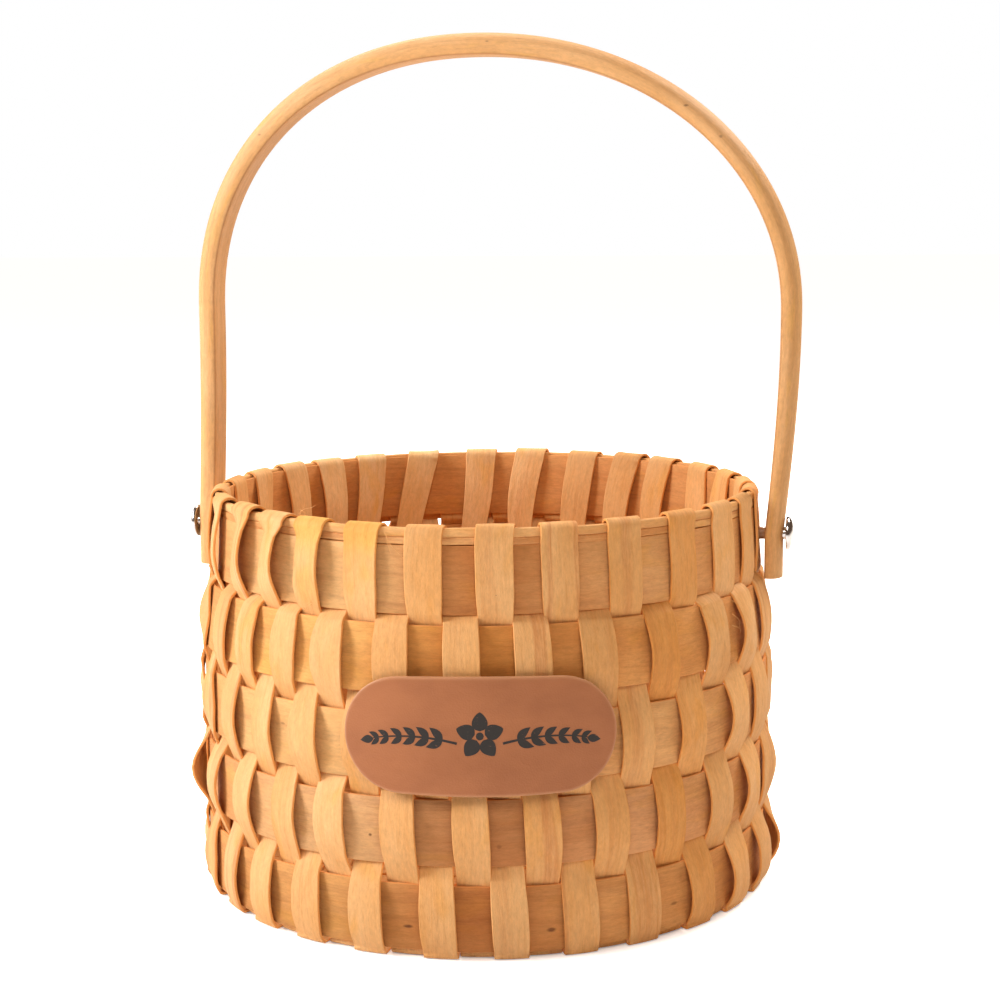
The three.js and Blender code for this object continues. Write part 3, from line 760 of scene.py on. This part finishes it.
def ring_band(node_name, bottom, top, foot, head, lap, wave, seed):
    """A band bent into a ring, its skived ends lapped at a stake. The weave presses it in and out."""
    steps = 4 * STAKE_COUNT
    skive = steps // STAKE_COUNT
    start = (lap - 0.5) * STEP
    draw = random.Random(seed)
    phase = draw.uniform(0, 6)
    rings, grain, edge, tint = ([] for _ in range(4))
    for i in range(steps + skive + 1):
        turn = i / steps * 2 * math.pi
        angle = start + turn
        growing = min(i / skive, 1)
        shrinking = min((steps + skive - i) / skive, 1)
        outside = BAND_THICKNESS * 0.95 * (1 - shrinking)
        inside = BAND_THICKNESS * (0.08 + 0.92 * growing)
        if shrinking < 1:
            inside = BAND_THICKNESS + 0.02
        push = wave * math.cos(STAKE_COUNT / 2 * angle) + 0.15 * math.sin(3 * angle + phase)
        drift = 0.15 * math.sin(5 * angle + phase)
        out = Vector((math.cos(angle), math.sin(angle), 0))
        ring = []
        ease = min(0.2, (inside - outside) / 3)
        height = top - bottom
        levels = (0.25, height * 0.3, height * 0.6, height - 0.25)
        section = [(outside, level) for level in levels]
        section += [(outside + ease, height), (inside - ease, height)]
        section += [(inside, level) for level in reversed(levels)]
        section += [(inside - ease, 0), (outside + ease, 0)]
        for depth, level in section:
            share = level / height
            radius = foot + (head - foot) * share + push - depth
            ring.append(out * radius + UP * (bottom + level + drift))
            grain += [turn * foot, level + drift, seed * 13.7 + depth]
            edge.append(1.0 if level in (0, height) else 0.5)
            # Each band's colour carries painted light and shade that changes round the front
            tint += band_light_and_shade(seed if seed < 6 else 0, angle)
        rings.append(ring)
    points, faces = loft(rings)
    attributes = wood_attributes(grain, edge, tint, [0.3] * len(edge))
    add_piece(f"wood_{node_name}", points, faces, BAND_WOOD, "basket", attributes, [node_name])


for index, band in enumerate(BANDS):
    lap = STRIPS_EACH_WAY + 3 * (index - 2)
    wave = -0.22 if index % 2 == 0 else 0.22
    row, bottom, top, foot, head = (band[key] for key in ("row", "bottom", "top", "foot", "head"))
    ring_band(f"band_row_{row}", bottom, top, foot, head, lap, wave, row)
low, high = node_box("rim_band_inner")
ring_band("rim_band_inner", low.z, high.z, RIM_RADIUS - 1.5, RIM_RADIUS - 2.6, STRIPS_EACH_WAY - 6, 0, 9)


def reed(node_name, bottom, top, seed):
    """A thin split reed bent round the rim, a little uneven along its length."""
    middle = (bottom + top) / 2
    half_height = (top - bottom) / 2
    half_depth = 1.1
    radius = RIM_RADIUS - 1.05
    draw = random.Random(seed)
    phase = draw.uniform(0, 6)
    rings, grain, edge, tint = ([] for _ in range(4))
    steps = 280
    corners = 16
    for i in range(steps):
        angle = 2 * math.pi * i / steps
        out = Vector((math.cos(angle), math.sin(angle), 0))
        wave = 0.1 * math.sin(9 * angle + phase) + 0.08 * math.sin(23 * angle + 2 * phase)
        ring = []
        for k in range(corners):
            turn = 2 * math.pi * (k + 0.5) / corners
            side = math.copysign(abs(math.cos(turn)) ** 0.4, math.cos(turn))
            rise = math.copysign(abs(math.sin(turn)) ** 0.5, math.sin(turn))
            ring.append(out * (radius + half_depth * side) + UP * (middle + wave + half_height * rise))
            grain += [angle * radius, side * half_depth + rise * half_height, seed * 7.7]
            edge.append(0.0)
            tint += [0.99, 0.97, 0.93, 1]
        rings.append(ring)
    points, faces = loft(rings, closed=True)
    attributes = wood_attributes(grain, edge, tint, [0.9] * len(edge))
    add_piece(f"wood_{node_name}", points, faces, CHIP_WOOD, "basket", attributes, [node_name])


low, high = node_box("rim_reed_lower")
upper_low, upper_high = node_box("rim_reed_upper")
meeting = (high.z + upper_low.z) / 2 - 0.3
reed("rim_reed_lower", low.z - 0.25, meeting + 0.08, 3)
reed("rim_reed_upper", meeting, upper_high.z + 0.15, 4)


# Handle
LEG_TAIL = 14
LEG_HEIGHT = 72
HANDLE_RISE = 156.3
HANDLE_DEPTH = 12.2
CROWN_THICKNESS = 7.3
HANDLE_SIDE_HEIGHT = 2.2
LEG_INNER_FACE = 92.1
LEFT_LEG = {"side": -1, "thickness": 6.8, "flare": -2.2, "roundness": 2.15}
RIGHT_LEG = {"side": 1, "thickness": 5.8, "flare": 4.6, "roundness": 2.05}
CROWN_OFFSET = -1.5


def handle_side(leg):
    side = leg["side"]
    pivot = LEG_INNER_FACE + leg["thickness"] / 2
    points = []
    leg_steps = 24
    arch_steps = 60
    for i in range(leg_steps):
        rise = -LEG_TAIL + (LEG_HEIGHT + LEG_TAIL) * i / leg_steps
        lean = leg["flare"] * math.sin(max(rise, 0) / LEG_HEIGHT * math.pi / 2)
        points.append(Vector((side * (pivot + lean), 0, PIVOT_HEIGHT + rise)))
    for i in range(arch_steps + 1):
        turn = i / arch_steps * math.pi / 2
        reach = (pivot + leg["flare"]) * max(math.cos(turn), 0) ** (2 / leg["roundness"])
        rise = LEG_HEIGHT + (HANDLE_RISE - LEG_HEIGHT) * math.sin(turn) ** (2 / leg["roundness"])
        drift = CROWN_OFFSET * math.sin(turn) ** 2
        points.append(Vector((side * reach + drift, 0, PIVOT_HEIGHT + rise)))
    return points


def handle_section(thickness):
    """Points across and out: flat inside with eased corners, short sides and a round back."""
    half = HANDLE_DEPTH / 2
    inner = -thickness / 2
    side_top = inner + HANDLE_SIDE_HEIGHT
    section = [(-half + 0.9, inner), (-half / 2, inner), (0, inner), (half / 2, inner), (half - 0.9, inner)]
    edge = [0.5, 0, 0, 0, 0.5]
    section += [(half - 0.25, inner + 0.25), (half, inner + 0.9)]
    edge += [1, 0.5]
    back_steps = 18
    for i in range(back_steps + 1):
        turn = i / back_steps * math.pi
        section.append((half * math.cos(turn), side_top + (thickness / 2 - side_top) * math.sin(turn)))
        edge.append(0)
    section += [(-half, inner + 0.9), (-half + 0.25, inner + 0.25)]
    edge += [0.5, 1]
    return section, edge


def build_handle():
    path = handle_side(LEFT_LEG) + list(reversed(handle_side(RIGHT_LEG)))[1:]
    rings, grain, edge, tint = ([] for _ in range(4))
    travelled = 0
    for i, centre in enumerate(path):
        before = path[max(i - 1, 0)]
        after = path[min(i + 1, len(path) - 1)]
        along = (after - before).normalized()
        outward = Vector((-along.z, 0, along.x))
        if i:
            travelled += (centre - path[i - 1]).length
        rise = max(centre.z - PIVOT_HEIGHT, 0) / HANDLE_RISE
        foot = (LEFT_LEG if centre.x < 0 else RIGHT_LEG)["thickness"]
        thickness = foot + (CROWN_THICKNESS - foot) * rise
        section, at_edge = handle_section(thickness)
        ring = []
        for (across, out), value in zip(section, at_edge):
            ring.append(centre + outward * out + Vector((0, across, 0)))
            grain += [travelled, across * 1.2 + out * 0.7, out * 0.5]
            edge.append(value)
            tint += [1, 1, 1, 1]
        rings.append(ring)
    points, faces = loft(rings)
    attributes = wood_attributes(grain, edge, tint, [0.3] * len(edge))
    add_piece("bent_handle", points, faces, BENT_WOOD, "handle", attributes, ["handle"])


build_handle()


# Bolts, washers and nuts
ROUND_STEPS = 48
BOLT_RADIUS = 2.0
THREAD_ROOT_RADIUS = 1.72
THREAD_PITCH = 0.7
THREAD_LENGTH = 7
HEAD_RADIUS = 5.35
HEAD_HEIGHT = 2.5
HEAD_EDGE = 0.6
WASHER_RADIUS = 4.5
WASHER_BORE_RADIUS = 2.1
NUT_HALF_FLATS = 3.5
NUT_CORNER_RADIUS = 4.04


def round_pivot(side, along, radius, turn):
    """A point round the pivot line, at a distance out from the basket's axis."""
    return Vector((side * along, radius * math.cos(turn), PIVOT_HEIGHT + radius * math.sin(turn)))


def turned_piece(name, node_name, side, profile):
    """A round piece on the pivot line from a profile of radius and distance out from the basket's axis."""
    rings = []
    turns = [2 * math.pi * k / ROUND_STEPS for k in range(ROUND_STEPS)]
    for radius, along in profile:
        rings.append([round_pivot(side, along, radius, turn) for turn in turns])
    points, faces = loft(rings)
    add_piece(name, points, faces, BRIGHT_METAL, replaces=[node_name], sharp=50)


for side, letters in ((-1, "left"), (1, "right")):
    low, high = node_box(f"bolt_{letters}")
    tip, crown = sorted((abs(low.x), abs(high.x)))
    seat = crown - HEAD_HEIGHT
    profile = [(0.3, tip), (1.5, tip)]
    along = tip + THREAD_PITCH / 2
    while along < tip + THREAD_LENGTH:
        profile += [(BOLT_RADIUS, along), (THREAD_ROOT_RADIUS, along + THREAD_PITCH / 2)]
        along += THREAD_PITCH
    profile += [(BOLT_RADIUS, along + 0.2), (BOLT_RADIUS, seat)]
    profile += [(5.0, seat), (5.3, seat + 0.15), (HEAD_RADIUS, seat + 0.45)]
    for i in range(1, 11):
        turn = i / 10 * math.pi / 2
        dome = seat + HEAD_EDGE + (HEAD_HEIGHT - HEAD_EDGE) * math.sin(turn)
        profile.append((max(HEAD_RADIUS * math.cos(turn), 0.05), dome))
    turned_piece(f"metal_bolt_{letters}", f"bolt_{letters}", side, profile)
    low, high = node_box(f"washer_{letters}")
    inner, outer = sorted((abs(low.x), abs(high.x)))
    profile = [(WASHER_BORE_RADIUS, inner), (WASHER_RADIUS - 0.15, inner), (WASHER_RADIUS, inner + 0.15)]
    profile += [(radius, inner + outer - along) for radius, along in reversed(profile)]
    turned_piece(f"metal_washer_{letters}", f"washer_{letters}", side, profile)


def nut(side, letters):
    """A hexagon nut with its corners turned off at both ends."""
    low, high = node_box(f"nut_{letters}")
    inner, outer = sorted((abs(low.x), abs(high.x)))
    rings = []
    for inset, along in ((0.6, inner), (0.0, inner + 0.45), (0.0, outer - 0.45), (0.6, outer)):
        ring = []
        for k in range(ROUND_STEPS):
            turn = 2 * math.pi * k / ROUND_STEPS
            nearest = (turn + math.pi / 6) % (math.pi / 3) - math.pi / 6
            radius = min(NUT_HALF_FLATS / math.cos(nearest), NUT_CORNER_RADIUS - inset)
            ring.append(round_pivot(side, along, radius, turn))
        rings.append(ring)
    points, faces = loft(rings)
    name = f"nut_{letters}"
    add_piece(f"metal_{name}", points, faces, BRIGHT_METAL, replaces=[name], sharp=25)


nut(-1, "left")
nut(1, "right")


# Label
LABEL_LENGTH = 81.5
LABEL_HEIGHT = 34.4
LABEL_THICKNESS = 1.2
LABEL_BARREL = 0.5
LABEL_TURN = math.radians(9.8)
low, high = node_box("label")
LABEL_CENTRE = (low.z + high.z) / 2
LABEL_RADIUS = 96.3


def on_label(along, rise, out):
    """A point of the label from its flat place: along, up, and out from its back."""
    radius = LABEL_RADIUS + out
    angle = -math.pi / 2 + LABEL_TURN + along / (LABEL_RADIUS + LABEL_THICKNESS)
    return Vector((radius * math.cos(angle), radius * math.sin(angle), LABEL_CENTRE + rise))


def label_depth(along, rise):
    """How far a flat place of the label lies inside its outline."""
    end = LABEL_HEIGHT / 2
    past = max(abs(along) - (LABEL_LENGTH / 2 - end), 0)
    return end - math.hypot(past, rise)


def build_label():
    end = LABEL_HEIGHT / 2
    straight = LABEL_LENGTH / 2 - end
    ease = 0.4
    columns = []
    for i in range(22, 0, -1):
        turn = i / 22 * 1.52
        columns.append((-straight - 0.995 * end * math.sin(turn), end * math.cos(turn)))
    columns += [(straight * (2 * i / 26 - 1), end) for i in range(27)]
    columns += [(-along, half) for along, half in reversed(columns[:22])]
    near_edge = (1.0, 0.99, 0.97, 0.94, 0.88, 0.76, 0.6, 0.4, 0.2)
    shares = [*(-s for s in near_edge), 0, *reversed(near_edge)]
    rings, grain, edge = ([] for _ in range(3))
    for along, half in columns:
        ring = []
        barrel = LABEL_BARREL * math.cos(min(abs(along) / end, math.pi / 2)) * half / end
        for front, order in ((True, shares), (False, list(reversed(shares)))):
            for share in order:
                rise = half * share
                depth = max(label_depth(along, rise), 0)
                rounding = ease * (1 - math.sqrt(max(1 - (1 - min(depth / ease, 1)) ** 2, 0)))
                out = LABEL_THICKNESS - rounding if front else rounding * 0.6
                ring.append(on_label(along, rise + barrel * share, out))
                grain += [along, rise, 5.0]
                edge.append(max(1 - depth / 0.8, 0))
        rings.append(ring)
    points, faces = loft(rings)
    attributes = {"grain": ("FLOAT_VECTOR", "vector", grain), "edge": ("FLOAT", "value", edge)}
    add_piece("leather_label", points, faces, LEATHER, "basket", attributes, ["label"])


build_label()


# Printed flower on the label
PRINT_HEIGHT = 0.05


def printed_shape(start, heading, length, width_at, bend=0.0, steps=14):
    """Rings of a thin printed shape along a bending middle line. Angles are in degrees."""
    rings = []
    place = Vector((*start, 0))
    for i in range(steps + 1):
        share = i / steps
        angle = math.radians(heading + bend * share)
        sideways = Vector((-math.sin(angle), math.cos(angle), 0))
        half = max(width_at(share) / 2, 0.02)
        across = [place + sideways * (half * k / 2) for k in (-2, -1, 0, 1, 2)]
        ring = [on_label(p.x, p.y, LABEL_THICKNESS + PRINT_HEIGHT) for p in across]
        ring += [on_label(p.x, p.y, LABEL_THICKNESS - PRINT_HEIGHT) for p in reversed(across)]
        rings.append(ring)
        place = place + Vector((math.cos(angle), math.sin(angle), 0)) * (length / steps)
    end = place - Vector((math.cos(angle), math.sin(angle), 0)) * (length / steps)
    return rings, end, heading + bend


def disc(width):
    return lambda share: width * math.sqrt(max(1 - (2 * share - 1) ** 2, 0))


def petal(width):
    return lambda share: width * math.sin(math.pi * share ** 0.75) ** 0.7


def leaf(width):
    return lambda share: width * math.sin(math.pi * share ** 0.8)


def stem(width):
    return lambda share: width * (1 - 0.5 * share)


def build_flower():
    shapes = []
    for k in range(5):
        angle = 90 + 72 * k
        turn = math.radians(angle)
        start = (1.5 * math.cos(turn), 0.4 + 1.5 * math.sin(turn))
        shapes.append(printed_shape(start, angle, 5.6, petal(4.6)))
    shapes.append(printed_shape((-1.15, 0.4), 0, 2.3, disc(2.3)))
    for side in (1, -1):
        face = 0 if side > 0 else 180
        start = (6.6 * side, -1.8)
        shapes.append(printed_shape(start, face + side * 14, 25, stem(0.75), -side * 26, 30))
        place = Vector((*start, 0))
        for i in range(25):
            angle = math.radians(face + side * (14 - 26 * i / 24))
            place = place + Vector((math.cos(angle), math.sin(angle), 0))
            if i in (3, 7, 11, 15, 19, 22):
                size = 1 - 0.018 * i
                for lift in (1, -1):
                    heading = math.degrees(angle) + side * lift * 46
                    root = (place.x + side * 0.3, place.y)
                    bend = -side * lift * 26
                    shapes.append(printed_shape(root, heading, 5.6 * size, leaf(2.5 * size), bend))
        shapes.append(printed_shape((place.x, place.y), math.degrees(angle), 4.2, leaf(2.4)))
    points = []
    faces = []
    for rings, _, _ in shapes:
        more, sides = loft(rings)
        faces += [tuple(len(points) + k for k in face) for face in sides]
        points += more
    grain = []
    for p in points:
        angle = math.atan2(p.y, p.x) + math.pi / 2 - LABEL_TURN
        grain += [angle * LABEL_RADIUS, p.z - LABEL_CENTRE, 5.0]
    attributes = {"grain": ("FLOAT_VECTOR", "vector", grain)}
    add_piece("print_label_flower", points, faces, INK, attributes=attributes)


build_flower()


# Loose fibres


def fibre(name, places, radius=0.11):
    """A thin loose fibre through places given as azimuth, height and radius."""
    path = [Vector(on_wall(azimuth, height, reach)) for azimuth, height, reach in places]
    for _ in range(2):
        path = [path[0], *(p.lerp(q, s) for p, q in zip(path, path[1:]) for s in (0.25, 0.75)), path[-1]]
    rings = []
    grain = []
    for i, centre in enumerate(path):
        along = (path[min(i + 1, len(path) - 1)] - path[max(i - 1, 0)]).normalized()
        first = along.orthogonal().normalized()
        second = along.cross(first)
        size = radius * (1 - 0.75 * i / (len(path) - 1))
        turns = [2 * math.pi * k / 5 for k in range(5)]
        rings.append([centre + (first * math.cos(t) + second * math.sin(t)) * size for t in turns])
        grain += [i * 0.5, 0.0, 77.0] * 5
    points, faces = loft(rings)
    count = len(points)
    attributes = wood_attributes(grain, [0.0] * count, [1.05, 1.05, 1.0, 1] * count, [0.0] * count)
    add_piece(name, points, faces, CHIP_WOOD, attributes=attributes)


FIBRES = [
    [(262.0, 126.3, 89.3), (263.0, 123.5, 90.3), (264.4, 120.8, 90.0), (265.8, 118.6, 89.2)],
    [(262.4, 125.6, 89.2), (262.9, 122.0, 89.9), (263.3, 119.8, 89.2)],
    [(240.5, 128.2, 85.5), (241.6, 130.2, 85.0), (243.4, 130.6, 84.2), (244.6, 131.6, 84.4)],
    [(241.0, 128.0, 85.2), (240.4, 129.9, 84.4), (241.6, 131.2, 83.9)],
    [(243.0, 128.3, 85.9), (242.3, 129.8, 86.0), (240.8, 130.2, 86.3)],
    [(334.6, 99.2, 93.0), (335.5, 97.6, 95.0), (337.0, 96.6, 94.6)],
    [(334.4, 95.0, 93.6), (335.4, 93.0, 95.4), (335.8, 90.6, 94.8)],
    [(334.2, 91.5, 93.8), (335.8, 90.4, 95.2), (336.6, 88.3, 94.4)],
    [(246.8, 103.6, 91.2), (245.6, 101.8, 92.8), (246.4, 100.2, 93.6)],
    [(252.0, 27.8, 93.6), (253.2, 26.2, 95.0), (252.2, 25.0, 94.6)],
    [(199.0, 76.6, 94.6), (200.4, 75.0, 96.2), (199.4, 73.6, 96.0)],
    [(214.0, 52.4, 94.4), (215.8, 50.8, 96.2), (217.2, 51.6, 96.4)],
    [(332.0, 76.0, 94.0), (333.6, 74.6, 96.0), (332.6, 73.4, 96.2)],
    [(113.0, 51.0, 94.2), (114.6, 49.6, 96.2), (116.0, 50.4, 96.4)],
    [(60.0, 101.4, 92.0), (61.0, 99.6, 93.8), (60.2, 98.0, 94.0)],
]
for number, places in enumerate(FIBRES):
    fibre(f"wood_fibre_{number + 1:02d}", places)


# Camera, at the height, turn and lens fitted to the photograph
CAMERA_TURN = math.radians(11.1)
CAMERA_DISTANCE = 0.633
CAMERA_HEIGHT = 0.2183
CAMERA_PAN = math.radians(0.44)
CAMERA_PITCH = math.radians(8.62)
CAMERA_ROLL = math.radians(-0.47)
FOCAL_PIXELS = 1933
FRAME_PIXELS = 1000
SENSOR_WIDTH = 36


def place_camera():
    right = Vector((math.cos(CAMERA_TURN), math.sin(CAMERA_TURN), 0))
    ahead = Vector((-math.sin(CAMERA_TURN), math.cos(CAMERA_TURN), 0))
    across = right * math.cos(CAMERA_PAN) - ahead * math.sin(CAMERA_PAN)
    level = right * math.sin(CAMERA_PAN) + ahead * math.cos(CAMERA_PAN)
    forward = level * math.cos(CAMERA_PITCH) - UP * math.sin(CAMERA_PITCH)
    upward = level * math.sin(CAMERA_PITCH) + UP * math.cos(CAMERA_PITCH)
    rolled_across = across * math.cos(CAMERA_ROLL) + upward * math.sin(CAMERA_ROLL)
    rolled_upward = upward * math.cos(CAMERA_ROLL) - across * math.sin(CAMERA_ROLL)
    data = bpy.data.cameras.new("camera")
    data.sensor_width = SENSOR_WIDTH
    data.lens = FOCAL_PIXELS / FRAME_PIXELS * SENSOR_WIDTH
    data.clip_start = 0.01
    data.clip_end = 50
    camera = bpy.data.objects.new("camera", data)
    position = ahead * -CAMERA_DISTANCE + UP * CAMERA_HEIGHT
    turn = Matrix((rolled_across, rolled_upward, -forward)).transposed().to_4x4()
    camera.matrix_world = Matrix.Translation(position) @ turn
    bpy.context.scene.collection.objects.link(camera)
    bpy.context.scene.camera = camera


place_camera()


# Light and floor, in metres
WARM = (1, 0.89, 0.75)
LIGHT_SIZE = 0.6
LIGHT_DISTANCE = 1.3
LIGHT_TARGET = (0, 0, 0.1)
FLOOR_REACH = 8.0
GLOW = 0.93
GLOW_FROM = 0.086
GLOW_FULL = 0.101


def area_light(name, azimuth, elevation, watts, tint=(1, 1, 1)):
    azimuth = math.radians(azimuth)
    elevation = math.radians(elevation)
    level = LIGHT_DISTANCE * math.cos(elevation)
    target = Vector(LIGHT_TARGET)
    aim = Vector((level * math.cos(azimuth), level * math.sin(azimuth), LIGHT_DISTANCE * math.sin(elevation)))
    data = bpy.data.lights.new(name, "AREA")
    data.shape = "DISK"
    data.size = LIGHT_SIZE
    data.energy = watts
    data.color = tint
    light = bpy.data.objects.new(name, data)
    light.location = target + aim
    light.rotation_euler = (-aim).to_track_quat("-Z", "Y").to_euler()
    bpy.context.scene.collection.objects.link(light)


def studio():
    world = bpy.data.worlds.new("studio")
    world.use_nodes = True
    tree = world.node_tree
    background = tree.nodes["Background"]
    background.inputs["Color"].default_value = (1, 0.62, 0.40, 1)
    background.inputs["Strength"].default_value = 0.12
    backdrop = add_node(tree, "Background", {"Color": (1, 1, 1, 1), "Strength": 1.0})
    seen = add_node(tree, "LightPath").outputs["Is Camera Ray"]
    mix = add_node(tree, "MixShader", {0: seen, 1: background.outputs[0], 2: backdrop.outputs[0]})
    tree.links.new(mix.outputs[0], tree.nodes["World Output"].inputs["Surface"])
    bpy.context.scene.world = world

    material, tree, shader = new_material("pale_floor")
    shader.inputs["Base Color"].default_value = (0.93, 0.93, 0.93, 1)
    shader.inputs["Roughness"].default_value = 0.9
    shader.inputs["Emission Color"].default_value = (1, 1, 1, 1)
    seen = add_node(tree, "LightPath").outputs["Is Camera Ray"]
    here = add_node(tree, "TexCoord").outputs["Object"]
    distance = add_node(tree, "VectorMath", {0: here}, operation="LENGTH").outputs["Value"]
    glow = ranged(tree, distance, GLOW_FROM, GLOW_FULL, 0, GLOW, True)
    tree.links.new(calculated(tree, "MULTIPLY", seen, glow), shader.inputs["Emission Strength"])
    reach = FLOOR_REACH
    mesh = bpy.data.meshes.new("floor")
    corners = [(-reach, -reach, 0), (reach, -reach, 0), (reach, reach, 0), (-reach, reach, 0)]
    mesh.from_pydata(corners, [], [(0, 1, 2, 3)])
    mesh.materials.append(material)
    floor = bpy.data.objects.new("floor", mesh)
    bpy.context.scene.collection.objects.link(floor)

    area_light("key", -158, 28, 18.5)
    area_light("left", 172, 30, 2)
    area_light("front", -72, 45, 6.1, WARM)
    area_light("right", 48, 45, 16, WARM)
    area_light("back", 120, 50, 7, WARM)


studio()
bpy.context.scene.view_settings.view_transform = "Standard"
